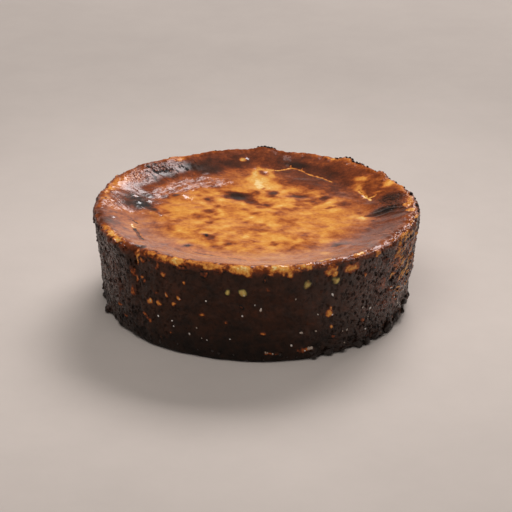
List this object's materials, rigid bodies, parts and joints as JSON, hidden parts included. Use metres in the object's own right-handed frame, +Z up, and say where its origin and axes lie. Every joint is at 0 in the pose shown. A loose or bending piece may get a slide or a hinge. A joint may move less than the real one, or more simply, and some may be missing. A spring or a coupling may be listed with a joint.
{
  "type": "basque cheesecake",
  "caption": "Whole round burnt-top cheesecake: a tapered dark crusty wall, a raised uneven rim and a sunken glossy golden-brown middle, resting on a flat base.",
  "frame": {"origin": "middle of the flat underside, on the surface the cake stands on", "axes": "+Z up, -Y towards the side that the picture shows, +X to the right of that side"},
  "size_m": [0.1989, 0.1958, 0.0636],
  "materials": {
    "baked_crust": "glossy mottled top from gold to burnt brown, and a pitted, nearly black baked crust on the wall"
  },
  "bodies": {
    "root": {"basque_cheesecake": "baked_crust"}
  },
  "joints": []
}
